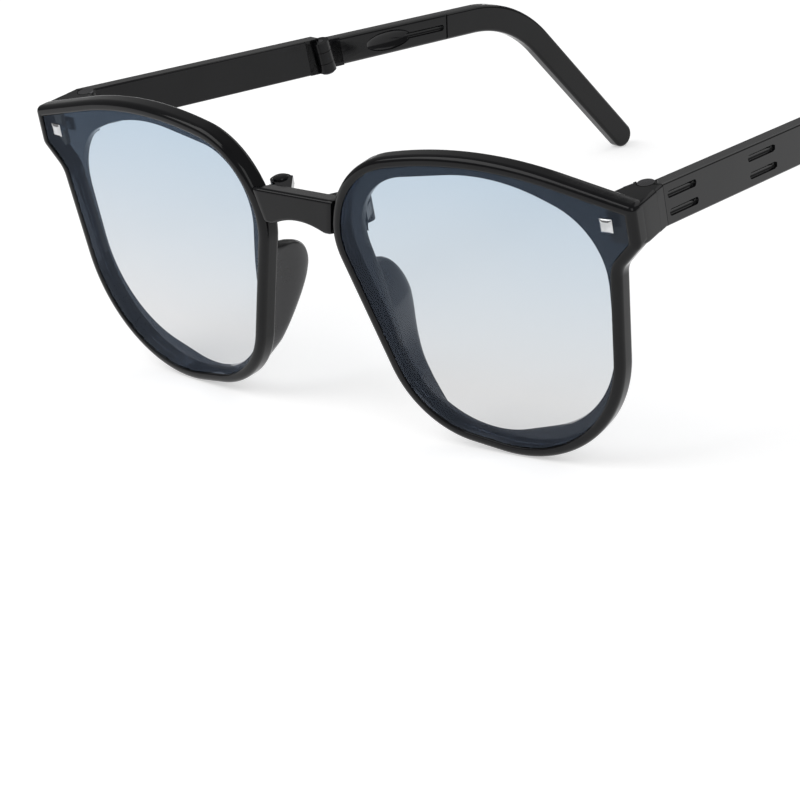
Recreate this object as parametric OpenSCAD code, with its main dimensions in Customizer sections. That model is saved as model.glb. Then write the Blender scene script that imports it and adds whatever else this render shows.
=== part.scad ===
// Folding sunglasses: two rims on a centre link, temples that fold twice.
// Side parts are drawn in the frame of their own rim: x outward, y to the rear, z up.

/* [Front] */
// Half the distance between the two bridge hinge axes
bridge_half = 9.4; // [9:0.1:12]
// Width of one rim
rim_w = 62.6; // [58:0.1:66]
// Height of one rim
rim_h = 56.1; // [52:0.1:60]
// Thickness of a rim, front to back
rim_t = 3.8; // [3.4:0.1:4.6]
// Angle by which each rim turns back from the centre
wrap = 6; // [5:0.5:7]
// Angle by which the front leans forward when it stands on its rims
tilt = 6.6; // [4:0.1:8]
// Width of the black lip round a lens
lip = 1.9; // [1.5:0.1:2.4]

/* [Lenses] */
// Thickness of a lens
lens_t = 1.75; // [1.4:0.05:2]
// Depth of the lens face below the lip
lens_sink = 0.25; // [0.15:0.05:0.4]
// Side of the square rivet head
rivet_w = 2.4; // [2:0.1:3]
// Thickness of the rivet head, let into the lens
rivet_head = 0.3; // [0.2:0.05:0.5]
// Radius of the rivet shank
rivet_r = 0.7; // [0.5:0.05:0.9]

/* [Bridge hinges] */
// Distance of the hinge axis behind the back of the rim
axis_back = 3.6; // [3.4:0.1:4.2]
// Radius of the hinge knuckles
bridge_knuckle_r = 1.9; // [1.6:0.1:2]
// Radius of the hinge pin
bridge_pin_r = 0.7; // [0.5:0.05:0.9]
// Bottom of the centre link
link_z = 38.6; // [38.6:0.1:40]
// Height of the centre link
link_h = 8.4; // [7.5:0.1:9]
// Thickness of the centre link
link_t = 4.6; // [4:0.1:4.6]
// Rise of the arch under the link
arch_rise = 1.4; // [1:0.1:2]

/* [Nose pads] */
// Height of a nose pad behind the rim
pad_out = 7.2; // [5:0.1:7.4]
// Thickness of a nose pad
pad_t = 2.4; // [2:0.1:2.8]
// Angle by which a pad spreads outward
pad_splay = 15; // [10:1:20]

/* [Temple hinges] */
// Distance of the temple hinge axis behind the front of the rim
hinge_depth = 10; // [9.8:0.1:11]
// Radius of the ears and of the tongue knuckle
ear_r = 1.9; // [1.7:0.1:2]
// Height of the tongue knuckle
tongue_h = 2.4; // [2:0.1:2.8]
// Thickness of the tongue bar
tongue_t = 1.4; // [1.2:0.1:1.5]
// Length of the tongue bar behind the hinge axis
tongue_len = 12; // [9:0.5:14]
// Radius of the hinge screw
screw_r = 0.8; // [0.6:0.05:0.9]
// Radius of the screw head
screw_head_r = 1.5; // [1.2:0.1:1.6]

/* [Temples] */
// Thickness of a temple
temple_t = 3; // [2.8:0.1:3.1]
// Height of a temple at its front end
temple_h = 7.6; // [7:0.1:8]
// Height of a temple at the middle hinge
middle_h = 7.4; // [7:0.1:8]
// Height of a rear half at the middle hinge
rear_h = 6; // [5.4:0.1:6.4]
// Height of a temple at its tip
tip_h = 5.2; // [4.6:0.1:6]
// Length from the temple hinge to the middle hinge
front_len = 58.5; // [56:0.1:58.6]
// Length from the middle hinge to the bend
bend_at = 53.5; // [50:0.5:55]
// Radius of the bend
bend_r = 28; // [22:1:32]
// Downward slope of a temple
slope = 11; // [10:0.5:12]
// Downward slope behind the bend
tip_slope = 56; // [54:1:58]
// Forward lean of the middle hinge axis, so that a tip folds past the rim
middle_lean = 6; // [5:0.5:7]
// Radius of the middle hinge knuckles
middle_r = 1.8; // [1.6:0.1:1.9]
// Radius of the middle hinge pin
middle_pin_r = 0.7; // [0.5:0.05:0.8]
// Height of one fork ear at the middle hinge
fork_h = 2; // [1.6:0.1:2.2]
// Height of the knuckle between the fork ears
middle_knuckle_h = 2.4; // [2:0.1:2.6]
// Length of the decorative grooves
groove_len = 9; // [7:0.5:11]
// Height of a decorative groove
groove_h = 0.9; // [0.6:0.1:1.2]
// Depth of the grooves and recesses
groove_d = 0.4; // [0.2:0.05:0.6]
// Middle of the hollow on the rear half's inner face, behind the middle hinge
hollow_at = 18; // [12:1:24]
// Length of that hollow
hollow_len = 11.2; // [8:0.2:14]
// Height of that hollow
hollow_h = 3.2; // [2:0.1:4]
// Step line on the inner face, behind the middle hinge
step_at = 34.3; // [28:0.1:40]
// Width of the step line
step_w = 0.5; // [0.3:0.1:1]
// Depth of the step line
step_d = 0.2; // [0.1:0.05:0.4]

/* [Fits] */
// Radial clearance of a running fit
run = 0.04; // [0.02:0.01:0.08]
// Gap between faces that move past each other
face_gap = 0.1; // [0.06:0.02:0.14]
// Gap between knuckles and the reliefs round them
relief = 0.2; // [0.15:0.05:0.3]
// Visible seam between the link and the rims
seam = 0.25; // [0.2:0.05:0.35]

/* [Hidden] */
$fn = 48;

black = "#101113";
metal = "#b9bcc0";
tint = "#8fa3b5";

// Corners of the rim and of its clear window, x and z in mm, then the corner radius
rim_shape = [[8.8, 3.0, 18.9], [51.0, -3.6, 24.2], [56.2, 38.4, 4.0], [60.6, 43.0, 2.2],
    [60.6, 50.3, 1.3], [29.1, 57.8, 81.0], [1.8, 52.8, 16.5], [-2.7, 38.4, 13.9]];
window_shape = [[9.6, -1.7, 18.9], [50.5, 9.3, 20.7], [53.1, 44.3, 14.1],
    [32.6, 52.9, 36.7], [0.7, 48.7, 11.7], [5.3, 28.8, 30.3]];
sx = rim_w / 62.6;
sz = rim_h / 56.1;

// Points of an outline whose corners are rounded by arcs
function unit(v) = v / norm(v);
function xz(c) = [c[0], c[1]];
function corner_arc(a, b, c, r) =
    let (u = unit(a - b), w = unit(c - b), half = acos(u * w) / 2,
        cen = b + unit(u + w) * r / sin(half),
        p = b + u * r / tan(half) - cen, q = b + w * r / tan(half) - cen,
        a0 = atan2(p[1], p[0]), a1 = atan2(q[1], q[0]),
        d = a1 - a0 > 180 ? a1 - a0 - 360 : a1 - a0 < -180 ? a1 - a0 + 360 : a1 - a0,
        k = max(2, ceil(abs(d) / 6)))
    [for (j = [0:k]) cen + r * [cos(a0 + d * j / k), sin(a0 + d * j / k)]];
function outline(s) = [for (i = [0:len(s) - 1])
    each corner_arc(xz(s[(i + len(s) - 1) % len(s)]), xz(s[i]), xz(s[(i + 1) % len(s)]), s[i][2])];

// The same corners, moved inward by d
function left_of(v) = [-v[1], v[0]];
function inset(s, d) = [for (i = [0:len(s) - 1])
    let (a = xz(s[(i + len(s) - 1) % len(s)]), b = xz(s[i]), c = xz(s[(i + 1) % len(s)]),
        n1 = left_of(unit(b - a)), n2 = left_of(unit(c - b)),
        p = b + d * (n1 + n2) / (1 + n1 * n2),
        convex = n1[0] * n2[1] - n1[1] * n2[0] > 0)
    [p[0], p[1], convex ? max(s[i][2] - d, 0.4) : s[i][2] + d]];

// Corner radii, held to what the sides beside them have room for
function tangent(s, i) = let (n = len(s), b = xz(s[i]),
    u = unit(xz(s[(i + n - 1) % n]) - b), w = unit(xz(s[(i + 1) % n]) - b))
    s[i][2] / tan(acos(u * w) / 2);
function room(s, i) = let (j = (i + 1) % len(s))
    min(1, 0.999 * norm(xz(s[j]) - xz(s[i])) / (tangent(s, i) + tangent(s, j)));
function fitted(s) = [for (i = [0:len(s) - 1])
    [s[i][0], s[i][1], s[i][2] * min(room(s, i), room(s, (i + len(s) - 1) % len(s)))]];

rim_corners = fitted([for (c = rim_shape) [c[0] * sx, c[1] * sz, c[2]]]);
window_corners = fitted([for (c = window_shape) [c[0] * sx, c[1] * sz, c[2]]]);
rim_points = outline(rim_corners);
wing_x = rim_shape[4][0] * sx;
wing_top = rim_shape[4][1] * sz - 0.1;

axis_y = rim_t + axis_back;
hinge_x = wing_x - 0.2 - temple_t - face_gap * 2;
temple_in = hinge_x + face_gap * 2;
temple_z = wing_top - temple_h / 2;
middle_y = hinge_depth + front_len;
middle_z = temple_z - front_len * tan(slope);
end_low = wing_top - temple_h;

// Heights of the knuckles at the three hinges
link_gap = face_gap;
ear_z = (link_h - 2 * link_gap) * 2.4 / 8.2;
tongue_z = temple_z + 0.05;
screw_low = end_low + 0.4;
screw_top = wing_top - 0.4;
fork_top = middle_knuckle_h / 2 + face_gap;
fork_end = fork_top + fork_h;
pin_head_r = middle_pin_r + 0.6;

// Height of a point above the ground line, and its place from front to back, once the front leans
function rise(p) = p[1] * sin(tilt) + p[2] * cos(tilt);
function reach(p) = p[1] * cos(tilt) - p[2] * sin(tilt);
function front_point(q) = [0, axis_y + q[0] * sin(wrap) - axis_y * cos(wrap), q[1]];
ground = min([for (q = rim_points) rise(front_point(q))]);
nearest = min([for (q = rim_points) reach(front_point(q))]);

// Rear half: centre line from the middle hinge to the tip, which ends on the ground
bend_y = middle_y + bend_at;
bend_z = middle_z - bend_at * tan(slope);
tip_r = tip_h / 2;
// The tips turn in with the rims, which shortens their reach
function side_y(y, x) = axis_y + x * sin(wrap) + (y - axis_y) * cos(wrap);
turn = tip_slope - slope;
bend_cut = bend_r * tan(turn / 2);
a_y = bend_y - bend_cut * cos(slope);
a_z = bend_z + bend_cut * sin(slope);
tip_y = bend_y + tip_len() * cos(tip_slope);
tip_z = bend_z - tip_len() * sin(tip_slope);
// Solve the tip along its line so that its lowest point is on the ground
function tip_len() = (side_y(bend_y, temple_in) * sin(tilt) + bend_z * cos(tilt) - ground - tip_r)
    / (sin(tip_slope) * cos(tilt) - cos(tip_slope) * cos(wrap) * sin(tilt));
farthest = side_y(tip_y, temple_in + temple_t) * cos(tilt) - tip_z * sin(tilt) + tip_r;
world_y = -(nearest + farthest) / 2;
world_z = -ground;

// Centre line stations: y, z, direction and half height
stations = concat(
    [[middle_y + face_gap, middle_z - face_gap * tan(slope), slope, rear_h / 2]],
    [for (j = [0:10]) let (a = slope + turn * j / 10)
        [a_y + bend_r * (sin(a) - sin(slope)), a_z - bend_r * (cos(slope) - cos(a)), a,
            rear_h / 2 + (tip_r - rear_h / 2) * (0.45 + 0.25 * j / 10)]],
    [[tip_y, tip_z, tip_slope, tip_r]]);
rear_outline = concat(
    [for (s = stations) s[2] == slope && s[0] < a_y - 1 ? [s[0], s[1] + s[3]]
        : [s[0] + s[3] * sin(s[2]), s[1] + s[3] * cos(s[2])]],
    [for (j = [1:11]) let (a = 90 - tip_slope - 15 * j) [tip_y + tip_r * cos(a), tip_z + tip_r * sin(a)]],
    [for (i = [len(stations) - 1:-1:0]) let (s = stations[i])
        s[2] == slope && s[0] < a_y - 1 ? [s[0], s[1] - s[3]]
        : [s[0] - s[3] * sin(s[2]), s[1] - s[3] * cos(s[2])]]);

// Places a child drawn in the frame of the glasses into the standing pose
module stand() {
    translate([0, world_y, world_z])
        rotate([tilt, 0, 0])
            children();
}

// Places a child drawn in the frame of the left rim; side is 1 for left and -1 for right
module on_side(side) {
    mirror([side < 0 ? 1 : 0, 0, 0])
        translate([bridge_half, axis_y, 0])
            rotate([0, 0, wrap])
                translate([0, -axis_y, 0])
                    children();
}

// A flat shape in x and z, extruded to the rear from y0 to y1
module slab(points, y0, y1) {
    translate([0, y1, 0])
        rotate([90, 0, 0])
            linear_extrude(y1 - y0)
                polygon(points);
}

// A shape in y and z, extruded outward from x0 to x1
module blade(points, x0, x1) {
    translate([x0, 0, 0])
        rotate([90, 0, 90])
            linear_extrude(x1 - x0)
                polygon(points);
}

// Places a child at the middle hinge, along its leaning axis
module at_middle() {
    translate([hinge_x, middle_y, middle_z])
        rotate([middle_lean, 0, 0])
            children();
}

// An upright cylinder at x, y between two heights
module upright(x, y, r, z0, z1) {
    translate([x, y, z0])
        cylinder(r = r, h = z1 - z0);
}

// Ear of the link: knuckle and the web to the link body
module link_ear(z0, z1) {
    upright(0, axis_y, bridge_knuckle_r, z0, z1);
    translate([0, axis_y, z0])
        linear_extrude(z1 - z0)
            polygon([[0.3, bridge_knuckle_r * 0.8], [-1.4, bridge_knuckle_r * 0.95],
                [-5.6, link_t - axis_y + 0.4], [-5.6, link_t - axis_y - 0.6],
                [-3.4, link_t - axis_y - 0.6], [0.3, -bridge_knuckle_r * 0.8]]);
}

module bridge_link() {
    arch_r = (49 + arch_rise * arch_rise) / (2 * arch_rise);
    color(black)
        stand()
            difference() {
                union() {
                    difference() {
                        translate([-bridge_half, 0, link_z])
                            cube([2 * bridge_half, link_t, link_h]);
                        // seams along both rims
                        for (side = [-1, 1])
                            on_side(side)
                                slab(outline(inset(rim_corners, -seam)), -2, link_t + 3);
                    }
                    for (side = [-1, 1])
                        on_side(side) {
                            link_ear(link_z + 0.2, link_z + ear_z);
                            link_ear(link_z + link_h - ear_z, link_z + link_h);
                        }
                }
                // arched underside
                translate([0, -1, link_z + arch_rise - arch_r])
                    rotate([-90, 0, 0])
                        cylinder(r = arch_r, h = 2 * axis_y, $fn = 160);
                for (side = [-1, 1])
                    on_side(side)
                        upright(0, axis_y, bridge_pin_r + run, link_z - 1, link_z + link_h + 1);
            }
}

module bridge_hinge_pin(side) {
    color(metal)
        stand()
            on_side(side) {
                upright(0, axis_y, bridge_pin_r, link_z, link_z + link_h + 0.1);
                upright(0, axis_y, bridge_pin_r + 0.8, link_z + link_h, link_z + link_h + 0.6);
            }
}

module rim(side) {
    color(black)
        stand()
            on_side(side)
                difference() {
                    union() {
                        slab(rim_points, 0, rim_t);
                        // bridge knuckle and its foot
                        upright(0, axis_y, bridge_knuckle_r, link_z + ear_z + link_gap,
                            link_z + link_h - ear_z - link_gap);
                        translate([0, axis_y, link_z + ear_z + link_gap])
                            linear_extrude(link_h - 2 * ear_z - 2 * link_gap)
                                polygon([[-0.1, -axis_back - 0.2], [3.4, -axis_back - 0.2],
                                    [bridge_knuckle_r, 0], [-bridge_knuckle_r, 0]]);
                        // end piece with the two ears of the temple hinge
                        translate([0, 0, end_low])
                            linear_extrude(temple_h)
                                polygon([[hinge_x - 5.4, rim_t - 0.2], [wing_x, rim_t - 0.2],
                                    [temple_in + temple_t, hinge_depth - face_gap],
                                    [hinge_x - ear_r, hinge_depth - face_gap]]);
                        upright(hinge_x, hinge_depth, ear_r, screw_low, screw_top);
                    }
                    slab(outline(window_corners), -1, rim_t + 1);
                    slab(outline(inset(rim_corners, lip)), -1, lens_t + lens_sink);
                    upright(0, axis_y, bridge_pin_r + run, link_z, link_z + link_h);
                    // slot for the tongue
                    upright(hinge_x, hinge_depth, ear_r + relief, tongue_z - tongue_h / 2 - face_gap,
                        tongue_z + tongue_h / 2 + face_gap);
                    upright(hinge_x, hinge_depth, screw_r + run, screw_low - 1, screw_top + 1);
                    upright(hinge_x, hinge_depth, screw_head_r + relief, screw_top, screw_top + 1);
                    // rivet hole
                    translate([rivet_x, lens_t, rivet_z])
                        rotate([-90, 0, 0])
                            cylinder(r = rivet_r + run, h = rim_t - lens_t - 0.5);
                }
}
rivet_x = 54.9 * sx;
rivet_z = 46.6 * sz;

module lens(side) {
    color(tint)
        stand()
            on_side(side)
                difference() {
                    slab(outline(inset(rim_corners, lip + 0.05)), lens_sink, lens_sink + lens_t);
                    translate([rivet_x, -1, rivet_z])
                        rotate([-90, 0, 0])
                            cylinder(r = rivet_r + run, h = lens_t + 3);
                    // recess for the rivet head
                    translate([rivet_x - rivet_w / 2 - run, 0, rivet_z - rivet_w / 2 - run])
                        cube([rivet_w + 2 * run, lens_sink + rivet_head + 2 * run, rivet_w + 2 * run]);
                }
}

module lens_rivet(side) {
    color(metal)
        stand()
            on_side(side) {
                translate([rivet_x - rivet_w / 2, lens_sink + run, rivet_z - rivet_w / 2])
                    cube([rivet_w, rivet_head, rivet_w]);
                translate([rivet_x, lens_sink + run + rivet_head / 2, rivet_z])
                    rotate([-90, 0, 0])
                        cylinder(r = rivet_r, h = rim_t - 0.7 - lens_sink - run - rivet_head / 2);
            }
}

// Profile of a nose pad: distance down the pad, then height behind the rim
pad_profile = [[-1.5, 0], [-0.6, 2.6], [1.5, 4.8], [5.5, 6.8], [10, 7.2], [14, 6.2], [18, 3.8],
    [20.6, 1.6], [22, 0]];
pad_top = [1.5, 29.6];
pad_low = [7.2, 9.6];
module nose_pad(side) {
    lean = atan2(pad_low[0] - pad_top[0], pad_top[1] - pad_low[1]);
    color(black)
        stand()
            on_side(side)
                difference() {
                    translate([pad_top[0] * sx, rim_t, pad_top[1] * sz])
                        rotate([0, -lean, 0])
                            rotate([0, 0, -pad_splay])
                                translate([-pad_t / 2, 0, 0])
                                    blade([for (p = pad_profile)
                                        [p[1] * pad_out / 7.2 - (p[1] == 0 ? 1.5 : 0), -p[0] * sz]], 0, pad_t);
                    // seat on the back of the rim
                    translate([-20, rim_t - 10, 0])
                        cube([60, 10, 60]);
                }
}

module temple_hinge_screw(side) {
    color(metal)
        stand()
            on_side(side) {
                upright(hinge_x, hinge_depth, screw_r, screw_low, screw_top + 0.1);
                upright(hinge_x, hinge_depth, screw_head_r, screw_top, screw_top + 0.4);
            }
}

module hinge_tongue(side) {
    z0 = tongue_z - tongue_h / 2;
    color(metal)
        stand()
            on_side(side)
                difference() {
                    union() {
                        upright(hinge_x, hinge_depth, ear_r, z0, z0 + tongue_h);
                        translate([bar_x, hinge_depth, z0 + 0.2])
                            cube([tongue_t, tongue_len, tongue_h - 0.4]);
                    }
                    upright(hinge_x, hinge_depth, screw_r + run, z0 - 1, z0 + tongue_h + 1);
                }
}
bar_x = temple_in + 0.6;

module temple_front(side) {
    z0 = tongue_z - tongue_h / 2;
    color(black)
        stand()
            on_side(side)
                difference() {
                    union() {
                        difference() {
                            blade([[hinge_depth, end_low], [middle_y - face_gap, middle_z - middle_h / 2],
                                [middle_y - face_gap, middle_z + middle_h / 2], [hinge_depth, wing_top]],
                                temple_in, temple_in + temple_t);
                            // room for the rear knuckle and for the head of the pin
                            at_middle() {
                                upright(0, 0, middle_r + relief, -fork_top, fork_top);
                                upright(0, 0, pin_head_r + relief, -fork_end - 2, -fork_end);
                            }
                        }
                        at_middle() {
                            upright(0, 0, middle_r, -fork_end, -fork_top);
                            upright(0, 0, middle_r, fork_top, fork_end);
                        }
                    }
                    at_middle()
                        upright(0, 0, middle_pin_r + run, -fork_end - 1, fork_end + 1);
                    // room for the ears of the end piece and for the tongue
                    upright(hinge_x, hinge_depth, ear_r + relief, end_low - 5, wing_top + 5);
                    translate([bar_x - run, hinge_depth - 1, z0 + 0.2 - run])
                        cube([tongue_t + 2 * run, tongue_len + 1.3, tongue_h - 0.4 + 2 * run]);
                    // two pairs of grooves on the outer face
                    for (along = [1, 28], up = [-1.6, 1.6])
                        translate([temple_in + temple_t - groove_d, hinge_depth,
                            temple_z + up - groove_h / 2])
                            rotate([-slope, 0, 0])
                                translate([0, along, 0])
                                    cube([groove_d + 1, groove_len, groove_h]);
                }
}

module tip_hinge_pin(side) {
    color(metal)
        stand()
            on_side(side)
                at_middle() {
                    upright(0, 0, middle_pin_r, -fork_end - 0.1, fork_end);
                    upright(0, 0, pin_head_r, -fork_end - 0.4, -fork_end);
                }
}

// A boat shape between two arcs
module hollow() {
    r = (hollow_len * hollow_len + hollow_h * hollow_h) / (4 * hollow_h);
    intersection_for (up = [-1, 1])
        translate([up * (r - hollow_h / 2), 0])
            circle(r = r, $fn = 96);
}

module temple_rear(side) {
    color(black)
        stand()
            on_side(side)
                difference() {
                    union() {
                        difference() {
                            blade(rear_outline, temple_in, temple_in + temple_t);
                            at_middle()
                                upright(0, 0, middle_r + relief, -9, 9);
                        }
                        // knuckle and its web into the blade
                        at_middle() {
                            upright(0, 0, middle_r, -middle_knuckle_h / 2, middle_knuckle_h / 2);
                            translate([0.4, 0, -middle_knuckle_h / 2])
                                cube([middle_r - 0.4, middle_r + relief + 0.6, middle_knuckle_h]);
                        }
                    }
                    at_middle()
                        upright(0, 0, middle_pin_r + run, -fork_top, fork_top);
                    // long hollow, groove and step line on the inner face
                    translate([temple_in, middle_y, middle_z])
                        rotate([-slope, 0, 0]) {
                            translate([-1, hollow_at, 0])
                                rotate([0, 90, 0])
                                    linear_extrude(groove_d + 1)
                                        hollow();
                            translate([-1, hollow_at + hollow_len / 2 - 1.6, -groove_h / 2])
                                cube([groove_d + 1, step_at - hollow_at - hollow_len / 2 + 0.8, groove_h]);
                            translate([-1, step_at, -temple_h])
                                cube([1 + step_d, step_w, 2 * temple_h]);
                        }
                }
}

bridge_link();
bridge_hinge_pin(-1);  // bridge_hinge_pin_right
bridge_hinge_pin(1);  // bridge_hinge_pin_left
rim(-1);  // rim_right
rim(1);  // rim_left
lens(-1);  // lens_right
lens(1);  // lens_left
lens_rivet(-1);  // lens_rivet_right
lens_rivet(1);  // lens_rivet_left
nose_pad(-1);  // nose_pad_right
nose_pad(1);  // nose_pad_left
temple_hinge_screw(-1);  // temple_hinge_screw_right
temple_hinge_screw(1);  // temple_hinge_screw_left
hinge_tongue(-1);  // hinge_tongue_right
hinge_tongue(1);  // hinge_tongue_left
temple_front(-1);  // temple_front_right
temple_front(1);  // temple_front_left
tip_hinge_pin(-1);  // tip_hinge_pin_right
tip_hinge_pin(1);  // tip_hinge_pin_left
temple_rear(-1);  // temple_rear_right
temple_rear(1);  // temple_rear_left
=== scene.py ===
"""Folding sunglasses: black rims on a hinged link, flat tinted lenses, temples that fold twice.

Lengths in the tables are millimetres in the rim's own plane: x outward from the link hinge,
y towards the wearer, z up. In the world the unit is the metre, -Y is the front and +Z is up.
The moulded pieces are lofts along the rim's outline and the temples' edges. Each stands for one
solid of the frame, and keeps the knuckles of its hinges from that solid.
"""
import math

import bmesh
import bpy
import numpy as np
from mathutils import Matrix, Vector

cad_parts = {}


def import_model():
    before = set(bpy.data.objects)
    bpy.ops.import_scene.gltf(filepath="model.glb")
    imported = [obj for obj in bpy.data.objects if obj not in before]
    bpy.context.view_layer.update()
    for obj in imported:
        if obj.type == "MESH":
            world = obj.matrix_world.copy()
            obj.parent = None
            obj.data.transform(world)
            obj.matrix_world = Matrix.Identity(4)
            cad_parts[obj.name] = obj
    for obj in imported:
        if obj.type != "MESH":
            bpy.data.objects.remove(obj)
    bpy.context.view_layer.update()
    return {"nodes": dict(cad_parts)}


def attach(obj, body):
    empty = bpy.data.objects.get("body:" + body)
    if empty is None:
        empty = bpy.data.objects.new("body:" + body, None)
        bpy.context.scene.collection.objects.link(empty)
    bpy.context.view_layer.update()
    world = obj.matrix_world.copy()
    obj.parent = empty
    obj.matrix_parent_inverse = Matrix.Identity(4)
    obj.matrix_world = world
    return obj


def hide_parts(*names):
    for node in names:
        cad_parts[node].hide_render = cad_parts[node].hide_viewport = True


MM = 0.001
SIDES = {"right": -1, "left": 1}
# A hair's breadth that keeps two faces from lying in one plane
HAIR = 0.02

# Place of the rims: half the link's width, depth of the link's hinges, their turns, the frame's place
LINK_HALF = 9.4
HINGE_Y = 7.4
WRAP = math.radians(6.0)
TILT = math.radians(6.6)
PLACE_Y = -76.0119
PLACE_Z = -0.3564

# Corners of the rim and of its window: x, z, radius
RIM = [(8.8, 3.0, 18.9), (51.0, -3.6, 24.2), (56.2, 38.4, 4.0), (60.6, 43.0, 2.2),
       (60.6, 50.3, 1.3), (29.1, 57.8, 81.0), (1.8, 52.8, 16.5), (-2.7, 38.4, 13.9)]
WINDOW = [(9.6, -1.7, 18.9), (50.5, 9.3, 20.7), (53.1, 44.3, 14.1),
          (32.6, 52.9, 36.7), (0.7, 48.7, 11.7), (5.3, 28.8, 30.3)]
RIM_MIDDLE = (29.0, 27.5)
LEAST_RADIUS = 0.4
RIM_T = 3.8
RIM_BACK = RIM_T - HAIR
LIP = 1.9
LENS_FRONT = 0.25
LENS_BACK = 2.0

# The rim's section from the lens's seat, over the rounded lip, to the back: inset from its outline, depth
RIM_SECTION = [(LIP, LENS_BACK), (LIP, 0.36), (1.86, 0.16), (1.74, 0.05), (1.52, 0.0), (1.25, 0.0),
               (0.98, 0.03), (0.72, 0.11), (0.48, 0.24), (0.29, 0.42), (0.15, 0.64), (0.05, 0.92),
               (0.02, 1.2), (0.02, RIM_BACK - 0.95), (0.06, RIM_BACK - 0.68), (0.16, RIM_BACK - 0.42),
               (0.33, RIM_BACK - 0.21), (0.56, RIM_BACK - 0.07), (0.85, RIM_BACK)]
# The rest of that section round the window, from the back to the lens
WINDOW_SECTION = [(-0.75, RIM_BACK), (-0.4, RIM_BACK - 0.05), (-0.14, RIM_BACK - 0.18), (0, RIM_BACK - 0.42),
                  (0, LENS_BACK + 0.25), (-0.08, LENS_BACK + 0.06), (-0.25, LENS_BACK)]
# The lens's edge, from front to back: inset from the rim's outline, depth
LENS_SECTION = [(LIP + 0.2, LENS_FRONT), (LIP + 0.09, LENS_FRONT + 0.05), (LIP + 0.05, LENS_FRONT + 0.16),
                (LIP + 0.05, LENS_BACK - 0.2), (LIP + 0.15, LENS_BACK - 0.08)]

# Rivet: place, width, then the head as loss of half width and depth, and the shank as radius and depth
RIVET = (54.9, 46.6)
RIVET_W = 2.4
RIVET_HEAD = [(0, 0.5), (0, 0.16), (0.08, 0.06), (0.55, -0.12), (0.62, -0.13)]
RIVET_SHANK = [(0.7, 0.4), (0.7, 2.9), (0.6, 3.0)]
RIVET_SIDE_STEPS = 6
PIN_SIDES = 32

# Link: lower edge, the solid's top, crest in front, thickness, fall of the crest to the back, arch and its
# narrowing, rounding of the edges, gap to the rims
LINK_LOW, LINK_TOP, LINK_CREST = 38.6, 47.0, 45.3
LINK_T, LINK_FALL, LINK_ARCH, ARCH_PINCH = 4.6, 0.9, 1.4, 1.28
LINK_ROUND, LINK_SEAM, LINK_SECTIONS = 0.7, 0.25, 33
# Heights between which the rims' inner sides are read for it, and how much softer and smaller its ends are
LINK_BETWEEN = (30, 52)
LINK_END_SOFTER, LINK_END_LESS = 0.1, 0.12
# The hinge behind the link is pressed to this share of its height. Pin: radius, height
HINGE_SHARE = 0.64
PIN_TOP = LINK_LOW + (LINK_TOP - LINK_LOW) * HINGE_SHARE
PIN_PROFILE = [(0.68, LINK_LOW + 0.1), (0.68, PIN_TOP - 0.1), (1.5, PIN_TOP - 0.1), (1.5, PIN_TOP + 0.12),
               (1.38, PIN_TOP + 0.3), (1.05, PIN_TOP + 0.42), (0.5, PIN_TOP + 0.5)]

# Nose pads: distance down from the top and reach behind the rim
PAD_PROFILE = [(-2.4, -0.5), (-2.1, 1.6), (-1.2, 4.6), (0.8, 7.0), (3.6, 8.2), (6.6, 8.1),
               (9.8, 7.1), (13.2, 5.6), (16.6, 4.0), (20.0, 2.6), (23.0, 1.3), (25.6, -0.5)]
PAD_TOP = 29.6
PAD_T, PAD_ROOT, PAD_LEAN, PAD_WIDEST = 3.2, 0.9, 0.10, 1.6
# Their inset from the rim's edges, the rim's inner side, sinking at the ends, lift and bluntness of the tip
PAD_INSET, PAD_INNER, PAD_SUNK, PAD_LIFT, PAD_BLUNT = 0.35, RIM_MIDDLE[0] - 12, -0.5, 0.5, 5
# Share of the thickness that a pad has where it starts, and the reach over which the rest is added
PAD_THIN, PAD_FILLS = 0.45, 7
PAD_SECTIONS, PAD_ROWS = 70, 14

# Temples: faces, slopes, centre line of the rear half as depth and height, its half heights
TEMPLE_IN, TEMPLE_OUT = 57.4, 60.4
SLOPE, TIP_SLOPE = math.radians(11.0), math.radians(56.0)
BEND_AT, BEND_R, BEND_STEPS = (110.615, 26.8425), 28.0, 24
TIP_AT, TIP_R = (148.6115, -14.8235), 2.6
REAR_ENDS, REAR_HALF = (64.0, 68.6), 2.95
BEND_HALF, BEND_THINS = 2.82, 0.1
# Lower and upper edge of the front half, and the depths, past both its ends, between which they are drawn
FRONT_EDGES = [((10.0, 42.6), (68.4, 31.329)), ((68.4, 38.729), (10.0, 50.2))]
FRONT_ENDS = (5.0, 74.0)
FRONT_SOFT, REAR_SOFT = 0.45, 0.8

# Grooves: middle line of the front half and its way, places along and across it, the one on the rear half
FRONT_FROM, FRONT_WAY = (10.0, 46.4), (0.982, -0.191)
GROOVES_ALONG, GROOVES_UP = (1.0, 27.6), (-1.6, 1.6)
GROOVE_L, GROOVE_R, GROOVE_PROUD = 9.3, 0.64, 0.06
REAR_GROOVE_FROM, REAR_GROOVE_L = (89.7, 30.91), 12.2
# Hollow inside the rear half: the half's start, middle from there, half length, depth, half height
REAR_FROM = (68.5, 35.029)
HOLLOW_AT, HOLLOW_HALF, HOLLOW_DEPTH, HOLLOW_TALL = 18, 6.2, 1.0, 2.0
CUTTER_SIDES = 24

# End piece behind the wing corner, and its hinge end: depth, low x and z, high x and z
END_LOW = 42.6
END_SECTIONS = [(1.5, 54.5, 43.0, 60.5, 50.15), (2.6, 53.4, 42.7, 60.56, 50.2),
                (3.8, 52.2, 42.58, 60.57, 50.22), (5.0, 53.0, 42.58, 60.54, 50.22),
                (6.4, 53.6, END_LOW, 60.5, 50.22), (7.86, 54.1, 42.62, 60.46, 50.2)]
HINGE_END_SECTIONS = [(7.7, 54.0, 42.58, 60.5, 50.22), (9.96, 55.2, 42.58, 60.42, 50.22)]
END_SOFT = 0.6
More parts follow.
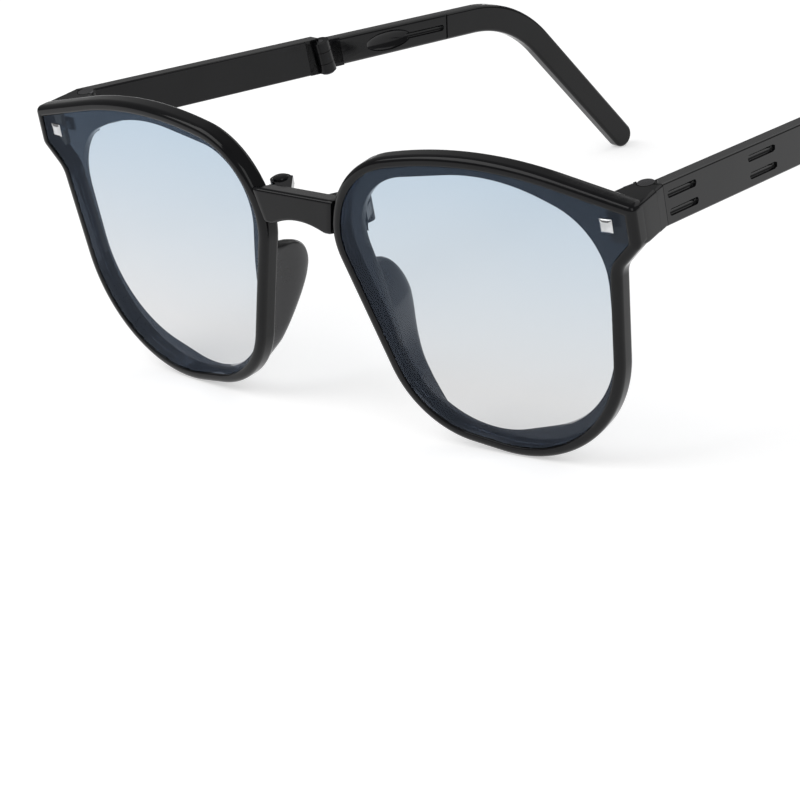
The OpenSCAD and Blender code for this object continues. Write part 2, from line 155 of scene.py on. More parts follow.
# Blocks round the knuckles that the moulded pieces keep from the frame: low and high corner
TEMPLE_KNUCKLES = (54.6, 9.5, END_LOW - 1), (59.6, 14, 51)
RIM_KNUCKLES = (-5, RIM_T - 0.015, LINK_LOW), (3.6, 14, LINK_TOP)
LINK_EARS = (-6.4, 3.9, LINK_LOW - 1), (4, 12, LINK_TOP + 1)
MIDDLE_KNUCKLES = (50, 64.5, 25), (TEMPLE_IN + 0.1, 73.5, 45)


# Places
def upright(x, y, z):
    """Points given by their distance from the middle, depth and height, in metres in the world."""
    return MM * np.column_stack([x, y * math.cos(TILT) - z * math.sin(TILT) + PLACE_Y,
                                 y * math.sin(TILT) + z * math.cos(TILT) + PLACE_Z])


def world(side, points):
    """Points of one rim's plane, in metres in the world."""
    p = np.atleast_2d(np.asarray(points, float))
    x, y = p[:, 0], p[:, 1] - HINGE_Y
    across = LINK_HALF + x * math.cos(WRAP) - y * math.sin(WRAP)
    deep = HINGE_Y + x * math.sin(WRAP) + y * math.cos(WRAP)
    return upright(side * across, deep, p[:, 2])


def unit(v):
    """The direction of a vector."""
    return v / np.linalg.norm(v)


def inset(corners, d):
    """The corners moved inward by d, with their radii kept concentric."""
    n, out = len(corners), []
    for i in range(n):
        a, b, c = (np.array(corners[k % n][:2]) for k in (i - 1, i, i + 1))
        u, w = unit(b - a), unit(c - b)
        n1, n2 = np.array([-u[1], u[0]]), np.array([-w[1], w[0]])
        p = b + d * (n1 + n2) / (1 + n1 @ n2)
        convex = u[0] * w[1] - u[1] * w[0] > 0
        r = corners[i][2]
        out.append((p[0], p[1], max(r - d, LEAST_RADIUS) if convex else r + d))
    return out


def outline(corners, least_steps=10, step_pairs=9, straight_steps=7):
    """A rounded outline. Its counts come from the corners' angles, so all insets have as many points."""
    n, points = len(corners), []
    for i in range(n):
        a, b, c = (np.array(corners[k % n][:2]) for k in (i - 1, i, i + 1))
        r = corners[i][2]
        u, w = unit(a - b), unit(c - b)
        half = math.acos(u @ w) / 2
        centre = b + unit(u + w) * r / math.sin(half)
        p, q = b + u * r / math.tan(half) - centre, b + w * r / math.tan(half) - centre
        a0, a1 = math.atan2(p[1], p[0]), math.atan2(q[1], q[0])
        turn = (a1 - a0 + math.pi) % (2 * math.pi) - math.pi
        steps = least_steps + 2 * round(abs(turn) * step_pairs)
        points += [centre + r * np.array([math.cos(a0 + turn * k / steps), math.sin(a0 + turn * k / steps)])
                   for k in range(steps + 1)]
        following, after = np.array(corners[(i + 1) % n][:2]), np.array(corners[(i + 2) % n][:2])
        u2, w2 = unit(b - following), unit(after - following)
        start = points[-1]
        end = following + u2 * corners[(i + 1) % n][2] / math.tan(math.acos(u2 @ w2) / 2)
        points += [start + (end - start) * k / straight_steps for k in range(1, straight_steps)]
    return np.array(points)


def smooth(t, values, fine):
    """A smooth curve through the values at the steps of t, read at finer steps."""
    slopes = np.gradient(values, t)
    k = np.clip(np.searchsorted(t, fine) - 1, 0, len(t) - 2)
    span = t[k + 1] - t[k]
    u = (fine - t[k]) / span
    return ((2 * u ** 3 - 3 * u ** 2 + 1) * values[k] + (u ** 3 - 2 * u ** 2 + u) * span * slopes[k]
            + (3 * u ** 2 - 2 * u ** 3) * values[k + 1] + (u ** 3 - u ** 2) * span * slopes[k + 1])


def towards(points, shape, samples=3000):
    """The points of a shape that lie in the same directions from the rim's middle."""
    c = np.array(RIM_MIDDLE)
    dense = np.vstack([shape, shape[:1]])
    run = np.concatenate([[0], np.cumsum(np.hypot(*np.diff(dense, axis=0).T))])
    t = np.linspace(0, run[-1], samples, endpoint=False)
    dense = np.column_stack([np.interp(t, run, dense[:, 0]), np.interp(t, run, dense[:, 1])])
    angle = np.arctan2(*(dense - c).T[::-1])
    order = np.argsort(angle)
    want = np.arctan2(*(points - c).T[::-1])
    reach = np.interp(want, angle[order], np.hypot(*(dense - c).T)[order], period=2 * math.pi)
    return c + reach[:, None] * np.column_stack([np.cos(want), np.sin(want)])


def circle(sides):
    """Cosines and sines of even steps round a circle."""
    turn = np.linspace(0, 2 * math.pi, sides, endpoint=False)
    return np.cos(turn), np.sin(turn)


def at_depth(ring, y):
    """An outline's points at one depth."""
    return np.column_stack([ring[:, 0], np.full(len(ring), y), ring[:, 1]])


def rounded_box(centres, r, steps):
    """A box's outline with rounded corners, from the four centres of its corners in turn."""
    return [(u + r * math.cos(math.radians(90 * corner + 90 * k / steps)),
             v + r * math.sin(math.radians(90 * corner + 90 * k / steps)))
            for corner, (u, v) in enumerate(centres) for k in range(steps + 1)]


def bar(sections, r=END_SOFT, steps=5):
    """Rings of a bar with rounded long edges, from its sections: depth, low x and z, high x and z."""
    rings = []
    for y, x0, z0, x1, z1 in sections:
        centres = (x1 - r, z1 - r), (x0 + r, z1 - r), (x0 + r, z0 + r), (x1 - r, z0 + r)
        rings.append(at_depth(np.array(rounded_box(centres, r, steps)), y))
    return rings


# Meshes
def added(name, data):
    """A new object in the scene."""
    obj = bpy.data.objects.new(name, data)
    bpy.context.scene.collection.objects.link(obj)
    return obj


def clean(mesh, merge=1e-7):
    """Merges doubled points and turns the faces outwards."""
    bm = bmesh.new()
    bm.from_mesh(mesh)
    bmesh.ops.remove_doubles(bm, verts=bm.verts, dist=merge)
    bmesh.ops.recalc_face_normals(bm, faces=bm.faces)
    bm.to_mesh(mesh)
    bm.free()


def piece(name, vertices, faces):
    """A new object with its place in its mesh and its faces turned outwards."""
    mesh = bpy.data.meshes.new(name)
    mesh.from_pydata([tuple(v) for v in vertices], [], faces)
    clean(mesh)
    return added(name, mesh)


def loft(rings, closed=False):
    """Faces between rings of equal count. A closed loft comes back to its start, an open one is capped."""
    n, m = len(rings[0]), len(rings)
    faces = []
    for j in range(m if closed else m - 1):
        k = (j + 1) % m
        faces += [(j * n + i, j * n + (i + 1) % n, k * n + (i + 1) % n, k * n + i) for i in range(n)]
    if not closed:
        faces += [tuple(range(n)), tuple(range((m - 1) * n, m * n))[::-1]]
    return np.vstack(rings), faces


def lofted(name, side, rings, closed=False):
    """A loft through rings in one rim's plane, as a new object."""
    points, faces = loft(rings, closed)
    return piece(name, world(side, points), faces)


def block(side, low, high):
    """A block between two corners in one rim's plane."""
    corners = [(x, y, z) for z in (low[2], high[2]) for y in (low[1], high[1]) for x in (low[0], high[0])]
    faces = [(0, 1, 3, 2), (4, 6, 7, 5), (0, 4, 5, 1), (2, 3, 7, 6), (0, 2, 6, 4), (1, 5, 7, 3)]
    return piece("block", world(side, corners), faces)


def bake(obj):
    """Turns an object's modifiers into its plain mesh."""
    bpy.context.view_layer.update()
    baked = bpy.data.meshes.new_from_object(obj.evaluated_get(bpy.context.evaluated_depsgraph_get()))
    obj.modifiers.clear()
    old, obj.data = obj.data, baked
    bpy.data.meshes.remove(old)
    baked.name = obj.name


def solid_of(node, merge=2e-7):
    """A merged copy of a CAD node, without its materials and its own shading."""
    mesh = frame["nodes"][node].data.copy()
    mesh.materials.clear()
    clean(mesh, merge)
    for layer in list(mesh.uv_layers):
        mesh.uv_layers.remove(layer)
    if mesh.attributes.get("custom_normal"):
        mesh.attributes.remove(mesh.attributes["custom_normal"])
    return added("solid", mesh)


def cut(obj, other, operation):
    """Cuts an object with another one."""
    modifier = obj.modifiers.new("cut", "BOOLEAN")
    modifier.operation, modifier.object, modifier.solver = operation, other, "EXACT"
    bake(obj)


def cut_away(obj, cutters):
    """Takes the cutters out of an object."""
    for cutter in cutters:
        cut(obj, cutter, "DIFFERENCE")
        bpy.data.objects.remove(cutter)
    return obj


def kept_inside(obj, shapes):
    """What of an object lies inside each of the shapes, as one object for each."""
    parts = []
    for shape in shapes:
        part = added("part", obj.data.copy())
        cut(part, shape, "INTERSECT")
        parts.append(part)
    for used in [*shapes, obj]:
        bpy.data.objects.remove(used)
    return parts


def lowered(obj):
    """Presses a hinge part of the link down towards the link's lower edge."""
    up = np.array([0, -math.sin(TILT), math.cos(TILT)])
    base = MM * (np.array([0, PLACE_Y, PLACE_Z]) + LINK_LOW * up)
    for v in obj.data.vertices:
        at = np.array(v.co)
        v.co = at + (HINGE_SHARE - 1) * ((at - base) @ up) * up


def joined(name, objects):
    """Several objects as one."""
    bm = bmesh.new()
    for obj in objects:
        bm.from_mesh(obj.data)
        bpy.data.objects.remove(obj)
    mesh = bpy.data.meshes.new(name)
    bm.to_mesh(mesh)
    bm.free()
    return added(name, mesh)


def place(obj, body, node, finish, sharp=math.radians(34)):
    """Puts a piece on its body in the place of its CAD node, with its finish."""
    obj.data.shade_smooth()
    obj.data.set_sharp_from_angle(angle=sharp)
    even = obj.modifiers.new("even", "WEIGHTED_NORMAL")
    even.mode, even.weight, even.keep_sharp = "FACE_AREA", 50, True
    bake(obj)
    obj.data.materials.clear()
    obj.data.materials.append(finish)
    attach(obj, body)
    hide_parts(node)


# Node trees
class Value:
    """One output of a node, with the arithmetic that the trees use."""

    def __init__(self, nodes, socket):
        self.nodes, self.socket = nodes, socket

    def math(self, operation, first, second=0.0):
        """One Math node on values or plain numbers."""
        return self.nodes.node("ShaderNodeMath", {"operation": operation}, {0: first, 1: second})

    def __add__(self, other):
        return self.math("ADD", self, other)

    def __radd__(self, other):
        return self.math("ADD", other, self)

    def __sub__(self, other):
        return self.math("SUBTRACT", self, other)

    def __rsub__(self, other):
        return self.math("SUBTRACT", other, self)

    def __mul__(self, other):
        return self.math("MULTIPLY", self, other)

    def __rmul__(self, other):
        return self.math("MULTIPLY", other, self)

    def __truediv__(self, other):
        return self.math("DIVIDE", self, other)

    def __rtruediv__(self, other):
        return self.math("DIVIDE", other, self)


class Nodes:
    """A node tree, built node by node."""

    def __init__(self, tree):
        self.tree = tree
        tree.nodes.clear()

    def node(self, kind, settings=None, inputs=None, out=0):
        """Adds a node, sets it, feeds its inputs and gives one of its outputs."""
        made = self.tree.nodes.new(kind)
        for key, setting in (settings or {}).items():
            if key == "stops":
                for stop, (position, colour) in zip(made.color_ramp.elements, setting):
                    stop.position, stop.color = position, (*colour, 1)
            else:
                setattr(made, key, setting)
        for key, given in (inputs or {}).items():
            if isinstance(given, Value):
                self.tree.links.new(given.socket, made.inputs[key])
            else:
                made.inputs[key].default_value = given
        return Value(self, made.outputs[out]) if made.outputs else None

    def rays(self, *kinds):
        """Whether a ray is of each of these kinds."""
        return [self.node("ShaderNodeLightPath", out=f"Is {kind} Ray") for kind in kinds]


class Finish(Nodes):
    """A material, with the nodes that several finishes share."""

    def __init__(self, name):
        self.material = bpy.data.materials.new(name)
        self.material.use_nodes = True
        super().__init__(self.material.node_tree)

    def noise(self, scale, detail, stretch=(1, 1, 1)):
        """Noise in metres on Object coordinates, stretched along the axes."""
        at = self.node("ShaderNodeTexCoord", out="Object")
        at = self.node("ShaderNodeMapping", inputs={"Vector": at, "Scale": stretch})
        return self.node("ShaderNodeTexNoise", inputs={"Vector": at, "Scale": scale, "Detail": detail})

    def ramp(self, value, low, high):
        """A colour that goes from one stop to the other with the value."""
        return self.node("ShaderNodeValToRGB", {"stops": (low, high)}, {"Fac": value})

    def between(self, value, low, high):
        """The value's share between two bounds, held to 0 and 1."""
        return self.node("ShaderNodeMapRange", {"clamp": True}, {
            "Value": value, "From Min": low, "From Max": high})

    def bump(self, height, strength, distance):
        """A fine relief, with its depth in metres."""
        return self.node("ShaderNodeBump", inputs={
            "Height": height, "Strength": strength, "Distance": distance})

    def mix(self, share, first, second):
        """One shader that goes over into another."""
        return self.node("ShaderNodeMixShader", inputs={0: share, 1: first, 2: second})

    def surface(self, shader):
        """Ends the tree with its shader and gives the material."""
        self.node("ShaderNodeOutputMaterial", inputs={"Surface": shader})
        return self.material


# Finishes
def gloss_black():
    """Polished black moulded plastic: a faint flow in the colour, hair-fine rubbing in the gloss."""
    f = Finish("gloss_black")
    flow = f.noise(90.0, 3.0)
    rub = f.noise(700.0, 4.0, (1.0, 0.25, 1.0))
    skin = f.noise(420.0, 1.0)
    return f.surface(f.node("ShaderNodeBsdfPrincipled", inputs={
        "Base Color": f.ramp(flow, (0.3, (0.0035, 0.0036, 0.0042)), (0.75, (0.0065, 0.0066, 0.0074))),
        "Roughness": 0.08 + f.between(rub, 0.42, 0.75) * 0.10,
        "Specular IOR Level": 0.18,
        "Coat Weight": 0.08,
        "Coat Roughness": 0.04,
        "Normal": f.bump(skin, 0.05, 0.0001)}))


def pad_black():
    """Satin black of the nose pads, with a fine moulded grain."""
    f = Finish("pad_black")
    grain = f.noise(2600.0, 2.0)
    worn = f.noise(160.0, 3.0)
    return f.surface(f.node("ShaderNodeBsdfPrincipled", inputs={
        "Base Color": f.ramp(worn, (0.35, (0.008, 0.008, 0.010)), (0.75, (0.016, 0.016, 0.018))),
        "Roughness": 0.24 + f.between(worn, 0.3, 0.7) * 0.16,
        "Specular IOR Level": 0.45,
        "Normal": f.bump(grain, 0.08, 0.00005)}))


def lens_tint(fade_low=0.012, fade_top=0.052, waver=0.006):
    """Pale blue tint that fades downwards between two heights, with a thin mirror coat on the face."""
    f = Finish("lens_tint")
    at = f.node("ShaderNodeTexCoord", out="Object")
    height = f.node("ShaderNodeSeparateXYZ", inputs={"Vector": at}, out="Z")
    streak = f.noise(30.0, 1.0)
    fade = f.between(height + (streak - 0.5) * waver, fade_low, fade_top)
    low = f.node("ShaderNodeBsdfTransparent", inputs={"Color": (0.874, 0.872, 0.866, 1)})
    top = f.node("ShaderNodeBsdfTransparent", inputs={"Color": (0.72, 0.783, 0.834, 1)})
    coat = f.node("ShaderNodeBsdfPrincipled", inputs={
        "Base Color": (0.55, 0.66, 0.86, 1), "Metallic": 1.0,
        "Roughness": 0.03 + f.between(streak, 0.4, 0.8) * 0.03})
    facing = f.node("ShaderNodeLayerWeight", inputs={"Blend": 0.12}, out="Fresnel")
    return f.surface(f.mix(0.03 + facing * 0.4, f.mix(fade, low, top), coat))


def bright_metal(name, colour, stretch, rough):
    """Turned or brushed metal: fine lines in the gloss along one direction."""
    f = Finish(name)
    lines = f.noise(1500.0, 2.0, stretch)
    stain = f.noise(500.0, 2.0)
    dark = tuple(0.72 * c for c in colour)
    return f.surface(f.node("ShaderNodeBsdfPrincipled", inputs={
        "Base Color": f.ramp(stain, (0.35, dark), (0.7, colour)),
        "Metallic": 1.0,
        "Roughness": rough + f.between(lines, 0.3, 0.7) * 0.12,
        "Normal": f.bump(lines, 0.06, 0.00003)}))


def pale_floor(lift=0.46):
    """Pale studio floor: white where the camera looks, with the shadow left on it."""
    f = Finish("pale_floor")
    cloud = f.noise(2.0, 2.0)
    lit = f.node("ShaderNodeBsdfDiffuse", inputs={
        "Color": f.ramp(cloud, (0.3, (0.735, 0.735, 0.738)), (0.7, (0.75, 0.75, 0.75)))})
    glow = f.node("ShaderNodeEmission", inputs={"Color": (1, 1, 1, 1), "Strength": lift})
    lifted = f.node("ShaderNodeAddShader", inputs={0: lit, 1: glow})
    seen, through, mirrored = f.rays("Camera", "Transmission", "Glossy")
    return f.surface(f.mix(seen + through + mirrored, lit, lifted))


# Cutters of the temples
def groove_tree(steps=40, end_share=0.02):
    """Geometry Nodes: one round-ended groove cutter on each point, along a given way."""
    tree = bpy.data.node_groups.new("grooves", "GeometryNodeTree")
    given = {"Geometry": "NodeSocketGeometry", "Along": "NodeSocketVector", "Radius": "NodeSocketFloat",
             "Material": "NodeSocketMaterial"}
    sockets = {name: tree.interface.new_socket(name, in_out="INPUT", socket_type=kind).identifier
               for name, kind in given.items()}
    tree.interface.new_socket("Geometry", in_out="OUTPUT", socket_type="NodeSocketGeometry")
    n = Nodes(tree)
    starts, along, radius, finish = (n.node("NodeGroupInput", out=name) for name in given)
    line = n.node("GeometryNodeCurvePrimitiveLine", inputs={"Start": (0, 0, 0), "End": along})
    line = n.node("GeometryNodeResampleCurve", inputs={"Curve": line, "Count": steps})
    share = n.node("GeometryNodeSplineParameter", out="Factor")
    length = n.node("ShaderNodeVectorMath", {"operation": "LENGTH"}, {0: along}, out="Value")
    from_end = share.math("MINIMUM", share, 1.0 - share) * length / radius
    short = share.math("MAXIMUM", 0.0, 1.0 - from_end)
    scale = share.math("SQRT", (1.0 + end_share) - short * short)
    section = n.node("GeometryNodeCurvePrimitiveCircle", inputs={
        "Resolution": CUTTER_SIDES, "Radius": radius})
    cutter = n.node("GeometryNodeCurveToMesh", inputs={
        "Curve": line, "Profile Curve": section, "Scale": scale, "Fill Caps": True})
    spread = n.node("GeometryNodeInstanceOnPoints", inputs={"Points": starts, "Instance": cutter})
    whole = n.node("GeometryNodeRealizeInstances", inputs={"Geometry": spread})
    whole = n.node("GeometryNodeSetMaterial", inputs={"Geometry": whole, "Material": finish})
    n.node("NodeGroupOutput", inputs={"Geometry": whole})
    return tree, sockets


def grooves(side, maker, x, starts, length, finish):
    """Cutters for grooves down a temple's slope, as one mesh from the tree of grooves."""
    tree, sockets = maker
    y, z = starts[0]
    at = world(side, [(x, *start) for start in starts])
    end = world(side, [(x, y + length * math.cos(SLOPE), z - length * math.sin(SLOPE))])
    obj = piece("cutters", at, [])
    spread = obj.modifiers.new("grooves", "NODES")
    spread.node_group = tree
    spread[sockets["Along"]] = tuple(float(v) for v in end[0] - at[0])
    spread[sockets["Radius"]] = GROOVE_R * MM
    spread[sockets["Material"]] = finish
    bake(obj)
    clean(obj.data)
    return obj


def front_grooves(side, maker, finish):
    """The two pairs of grooves on the outside of a front half."""
    starts = [(FRONT_FROM[0] + FRONT_WAY[0] * along, FRONT_FROM[1] + up + FRONT_WAY[1] * along)
              for along in GROOVES_ALONG for up in GROOVES_UP]
    return grooves(side, maker, TEMPLE_OUT + GROOVE_PROUD, starts, GROOVE_L, finish)


def rear_groove(side, maker, finish):
    """The long groove on the inside of a rear half."""
    return grooves(side, maker, TEMPLE_IN - GROOVE_PROUD, [REAR_GROOVE_FROM], REAR_GROOVE_L, finish)


def rear_hollow(side):
    """The cutter of the hollow inside a rear half: like a boat's hull, nearly pointed at both ends."""
    cos, sin = circle(CUTTER_SIDES)
    rings = []
    for a in np.radians(range(-88, 89, 8)):
        along = HOLLOW_AT + HOLLOW_HALF * math.sin(a)
        deep, tall = HOLLOW_DEPTH * math.cos(a), HOLLOW_TALL * math.cos(a)
        rings.append(np.column_stack([
            TEMPLE_IN + deep * cos,
            REAR_FROM[0] + along * math.cos(SLOPE) + tall * sin * math.sin(SLOPE),
            REAR_FROM[1] - along * math.sin(SLOPE) + tall * sin * math.cos(SLOPE)]))
    return lofted("cutter", side, rings)


# Pieces
def rim_piece(name, side, finish):
    """The moulded rim: a lofted ring with rounded lips, its end piece, and knuckles from the frame."""
    rings = [at_depth(outline(inset(RIM, d)), y) for d, y in RIM_SECTION]
    guide = outline(inset(RIM, LIP))
    rings += [at_depth(towards(guide, outline(inset(WINDOW, d))), y) for d, y in WINDOW_SECTION]
    ring = lofted("ring", side, rings, closed=True)
    end = lofted("end", side, bar(END_SECTIONS))
    hinge_end = lofted("hinge_end", side, bar(HINGE_END_SECTIONS))
    parts = kept_inside(solid_of(f"rim_{name}"), [
        hinge_end, block(side, *TEMPLE_KNUCKLES), block(side, *RIM_KNUCKLES)])
    lowered(parts[-1])
    place(joined(f"rim_{name}_moulded", [ring, end] + parts),
          f"rim_{name}", f"rim_{name}", finish)


def lens_piece(name, side, finish):
    """The flat lens plate, with a fine ground edge."""
    obj = lofted(f"lens_{name}_plate", side, [at_depth(outline(inset(RIM, d)), y) for d, y in LENS_SECTION])
    place(obj, f"rim_{name}", f"lens_{name}", finish)


def rivet_piece(name, side, finish):
    """The square rivet head with four bevelled faces, on its round shank."""
    corners = [(-1, -1), (1, -1), (1, 1), (-1, 1)]
    square = [(u + (s - u) * k / RIVET_SIDE_STEPS, v + (t - v) * k / RIVET_SIDE_STEPS)
              for (u, v), (s, t) in zip(corners, corners[1:] + corners[:1]) for k in range(RIVET_SIDE_STEPS)]
    head = lofted("head", side, [
        at_depth(np.array(RIVET) + (RIVET_W / 2 - less) * np.array(square), y) for less, y in RIVET_HEAD])
    cos, sin = circle(PIN_SIDES)
    shank = lofted("shank", side, [
        at_depth(np.column_stack([RIVET[0] + r * cos, RIVET[1] + r * sin]), y) for r, y in RIVET_SHANK])
    place(joined(f"lens_rivet_{name}_head", [head, shank]), f"rim_{name}", f"lens_rivet_{name}",
          finish)


def link_piece(finish):
    """The link: a rounded bar between the rims' seams, arched below, with the frame's ears behind it."""
    edge = outline(inset(RIM, -LINK_SEAM))
    z0, z1 = LINK_BETWEEN
    inner = edge[(edge[:, 0] < RIM_MIDDLE[0]) & (edge[:, 1] > z0) & (edge[:, 1] < z1)]
    inner = inner[np.argsort(inner[:, 1])]

    def seam(z, y):
        """Distance of the rim's edge from the middle."""
        x = np.interp(z, inner[:, 1], inner[:, 0])
        return LINK_HALF + x * math.cos(WRAP) - (y - HINGE_Y) * math.sin(WRAP)

    rings = []
    for u in np.linspace(-1, 1, LINK_SECTIONS):
        at_end = abs(u) == 1
        low = LINK_LOW + LINK_ARCH * max(0.0, 1 - (u * ARCH_PINCH) ** 2)
        soft = LINK_ROUND + LINK_END_SOFTER * at_end
        centres = ((LINK_T - soft, LINK_CREST - LINK_FALL - soft), (soft, LINK_CREST - soft),
                   (soft, low + soft), (LINK_T - soft, low + soft))
        rings.append(np.array([(u * (seam(z, y) - HAIR), y, z)
                               for y, z in rounded_box(centres, soft - LINK_END_LESS * at_end, steps=6)]))
    points, faces = loft(rings)
    middle = piece("middle", upright(*points.T), faces)
    ears = kept_inside(solid_of("bridge_link"), [block(side, *LINK_EARS) for side in SIDES.values()])
    for ear in ears:
        lowered(ear)
    place(joined("bridge_link_moulded", [middle] + ears), "bridge", "bridge_link", finish)


def pad_piece(name, side, finish):
    """A nose pad: a smooth fin that flows out of the back of the rim, full above and thin below."""
    knots = np.array(PAD_PROFILE, float)
    t = np.linspace(0, 1, len(knots))
    down, out = (smooth(t, knots[:, k], np.linspace(0, 1, PAD_SECTIONS)) for k in (0, 1))
    edge, hole = outline(inset(RIM, PAD_INSET)), outline(inset(WINDOW, -PAD_INSET))
    edge, hole = (c[c[:, 0] < PAD_INNER] for c in (edge, hole))
    edge, hole = (c[np.argsort(c[:, 1])] for c in (edge, hole))
    share = np.linspace(0, 1, PAD_ROWS)
    rings = []
    for d, reach in zip(down, np.maximum(out, PAD_SUNK)):
        z = PAD_TOP - d
        a, b = np.interp(z, edge[:, 1], edge[:, 0]), np.interp(z, hole[:, 1], hole[:, 0])
        proud = max(reach, 0)
        root = min((b - a) / 2, PAD_WIDEST)
        tip = min(root, PAD_T / 2 * min(1.0, PAD_THIN + proud / PAD_FILLS))
        ring = []
        for sign, run in ((1, share), (-1, share[::-1][1:])):
            for h in run:
                flow = h * h * (3 - 2 * h)
                half = (root + (tip - root) * flow) * math.sqrt(max(0.0, 1 - h ** PAD_BLUNT))
                ring.append((a + root - PAD_LEAN * proud * flow + sign * half,
                             RIM_T - PAD_ROOT + (reach + PAD_ROOT) * h, z + PAD_LIFT * flow))
        rings.append(np.array(ring))
    obj = lofted(f"nose_pad_{name}_moulded", side, rings)
    place(obj, f"rim_{name}", f"nose_pad_{name}", finish)


def bridge_pin(name, side, finish):
    """The pin of the link's hinge, with a low domed head."""
    cos, sin = circle(PIN_SIDES)
    obj = lofted(f"bridge_hinge_pin_{name}_domed", side, [
        np.column_stack([r * cos, HINGE_Y + r * sin, np.full(PIN_SIDES, z)]) for r, z in PIN_PROFILE])
    place(obj, "bridge", f"bridge_hinge_pin_{name}", finish)


def front_edge(points_each=8):
    """Outline of a front half, longer at both ends than the piece: depth, height."""
    points = []
    for (y0, z0), (y1, z1) in FRONT_EDGES:
        rise = (z1 - z0) / (y1 - y0)
        ends = FRONT_ENDS if y1 > y0 else FRONT_ENDS[::-1]
        points += [(y, z0 + rise * (y - y0)) for y in np.linspace(*ends, points_each)]
    return np.array(points)


def rear_edge(tip_points=26):
    """Outline of a rear half with its bend and round tip, longer at the hinge than the piece."""
    line = [(y, BEND_AT[1] + (BEND_AT[0] - y) * math.tan(SLOPE), SLOPE, REAR_HALF) for y in REAR_ENDS]
    for k in range(BEND_STEPS + 1):
        a = SLOPE + (TIP_SLOPE - SLOPE) * k / BEND_STEPS
        line.append((BEND_AT[0] + BEND_R * (math.sin(a) - math.sin(SLOPE)),
                     BEND_AT[1] - BEND_R * (math.cos(SLOPE) - math.cos(a)), a,
                     BEND_HALF - BEND_THINS * k / BEND_STEPS))
    line.append((*TIP_AT, TIP_SLOPE, TIP_R))
    above = [(y + h * math.sin(a), z + h * math.cos(a)) for y, z, a, h in line]
    below = [(y - h * math.sin(a), z - h * math.cos(a)) for y, z, a, h in line]
    end = [(TIP_AT[0] + TIP_R * math.cos(a), TIP_AT[1] + TIP_R * math.sin(a))
           for a in math.pi / 2 - TIP_SLOPE - np.linspace(0, math.pi, tip_points)[1:-1]]
    return np.array(above + end + below[::-1])[::-1]


def temple_piece(node, name, side, body, edge, soft, cutters, finish):
    """One half of a temple: the frame's solid inside a blade with rounded edges, and its knuckles."""
    back, ahead = edge - np.roll(edge, 1, axis=0), np.roll(edge, -1, axis=0) - edge
    n1, n2 = (np.column_stack([-v[:, 1], v[:, 0]]) / np.hypot(*v.T)[:, None] for v in (back, ahead))
    inward = (n1 + n2) / (1 + np.sum(n1 * n2, axis=1))[:, None]
    quarter = [(soft * (1 - math.sin(math.radians(a))), soft * (1 - math.cos(math.radians(a))))
               for a in (0, 18, 36, 54, 72, 90)]
    section = ([(d - HAIR, TEMPLE_IN - HAIR + x) for d, x in quarter]
               + [(d - HAIR, TEMPLE_OUT + HAIR - x) for d, x in quarter[::-1]])
    blade = lofted("blade", side, [
        np.column_stack([np.full(len(edge), x), edge + d * inward]) for d, x in section])
    solid = cut_away(solid_of(f"{node}_{name}"), cutters)
    parts = kept_inside(solid, [blade, block(side, *MIDDLE_KNUCKLES)])
    place(joined(f"{node}_{name}_moulded", parts), body, f"{node}_{name}", finish)


def metal_parts(name, steel, leaf):
    """Finishes of the small hinge parts that stay as the frame has them."""
    for node, finish in (("temple_hinge_screw", steel), ("hinge_tongue", leaf), ("tip_hinge_pin", steel)):
        for slot in frame["nodes"][f"{node}_{name}"].material_slots:
            slot.material = finish


# Camera, lamps and floor
# The camera's place in millimetres, turns in radians and focal length in pixels of the picture's width
CAMERA = {"at": (373.6363, -460.9172, 212.7319), "yaw": 0.7485, "pitch": 0.3727, "roll": -0.1001,
          "focal_px": 3210.3}
IMAGE_PX = 800
SENSOR_MM = 36.0
# Lamps: place and aim in metres, width and height, watts
LAMPS = {"key": ((-0.5, -0.75, 0.95), (0, 0, 0.02), (0.9, 0.9), 6.0),
         "fill": ((0.95, -0.5, 0.7), (0, 0, 0.02), (0.7, 0.7), 2.6),
         "back": ((0.1, 0.95, 0.75), (0, 0, 0.03), (1.2, 0.5), 1.6)}
SKY, SKY_LESS_IN_GLOSS = 0.5, 0.25
FLOOR_HALF = 3.0


def camera():
    """The camera, turned by its yaw, pitch and roll."""
    yaw, pitch, roll = CAMERA["yaw"], CAMERA["pitch"], CAMERA["roll"]
    forward = Vector((-math.sin(yaw) * math.cos(pitch), math.cos(yaw) * math.cos(pitch), -math.sin(pitch)))
    right = forward.cross(Vector((0, 0, 1))).normalized()
    up = right.cross(forward)
    right, up = (math.cos(roll) * right + math.sin(roll) * up, -math.sin(roll) * right + math.cos(roll) * up)
    data = bpy.data.cameras.new("camera")
    data.sensor_width = SENSOR_MM
    data.lens = CAMERA["focal_px"] / IMAGE_PX * SENSOR_MM
    data.clip_start, data.clip_end = 0.01, 20.0
    obj = added("camera", data)
    turn = Matrix((right, up, -forward)).transposed().to_4x4()
    obj.matrix_world = Matrix.Translation(Vector(CAMERA["at"]) * MM) @ turn
    bpy.context.scene.camera = obj


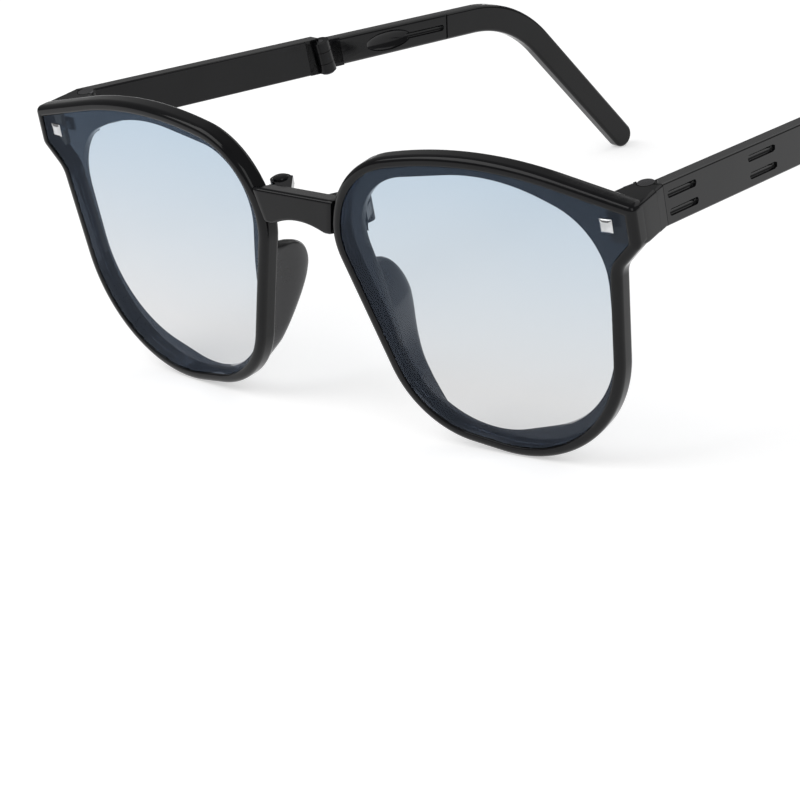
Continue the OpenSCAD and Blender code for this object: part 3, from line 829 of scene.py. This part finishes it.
def lamp(name, at, aim, size, power):
    """A soft lamp that looks at a place."""
    data = bpy.data.lights.new(name, "AREA")
    data.shape, data.size, data.size_y, data.energy = "RECTANGLE", size[0], size[1], power
    obj = added(name, data)
    obj.location = at
    obj.rotation_euler = (Vector(aim) - Vector(at)).to_track_quat("-Z", "Y").to_euler()


def sky():
    """A white sky, dimmer in gloss, and plain where the camera or the lens looks at it."""
    world_data = bpy.data.worlds.new("sky")
    world_data.use_nodes = True
    n = Nodes(world_data.node_tree)
    seen, through, mirrored = n.rays("Camera", "Transmission", "Glossy")
    light = n.node("ShaderNodeBackground", inputs={
        "Color": (1, 1, 1, 1), "Strength": SKY - SKY_LESS_IN_GLOSS * mirrored})
    shown = n.node("ShaderNodeBackground", inputs={"Color": (0.8, 0.8, 0.8, 1), "Strength": 1.0})
    mixed = n.node("ShaderNodeMixShader", inputs={0: seen + through, 1: light, 2: shown})
    n.node("ShaderNodeOutputWorld", inputs={"Surface": mixed})
    bpy.context.scene.world = world_data


def studio():
    """The lamps, the sky and the floor."""
    for name, settings in LAMPS.items():
        lamp(name, *settings)
    sky()
    corners = [(x * FLOOR_HALF, y * FLOOR_HALF, 0) for x, y in ((-1, -1), (1, -1), (1, 1), (-1, 1))]
    floor = piece("floor", corners, [(0, 1, 2, 3)])
    floor.data.materials.append(pale_floor())


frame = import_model()
bpy.context.scene.view_settings.view_transform = "Standard"
camera()
studio()

black, satin, tint = gloss_black(), pad_black(), lens_tint()
chrome = bright_metal("rivet_chrome", (0.66, 0.67, 0.68), (1, 1, 1), 0.08)
steel = bright_metal("hinge_steel", (0.16, 0.16, 0.17), (1, 1, 0.1), 0.24)
leaf = bright_metal("tongue_steel", (0.62, 0.63, 0.64), (1, 0.08, 1), 0.2)

groove_maker = groove_tree()
link_piece(black)
for name, side in SIDES.items():
    rim_piece(name, side, black)
    lens_piece(name, side, tint)
    rivet_piece(name, side, chrome)
    pad_piece(name, side, satin)
    bridge_pin(name, side, black)
    temple_piece("temple_front", name, side, f"temple_{name}", front_edge(), FRONT_SOFT,
                 [front_grooves(side, groove_maker, black)], black)
    temple_piece("temple_rear", name, side, f"tip_{name}", rear_edge(), REAR_SOFT,
                 [rear_hollow(side), rear_groove(side, groove_maker, black)], black)
    metal_parts(name, steel, leaf)
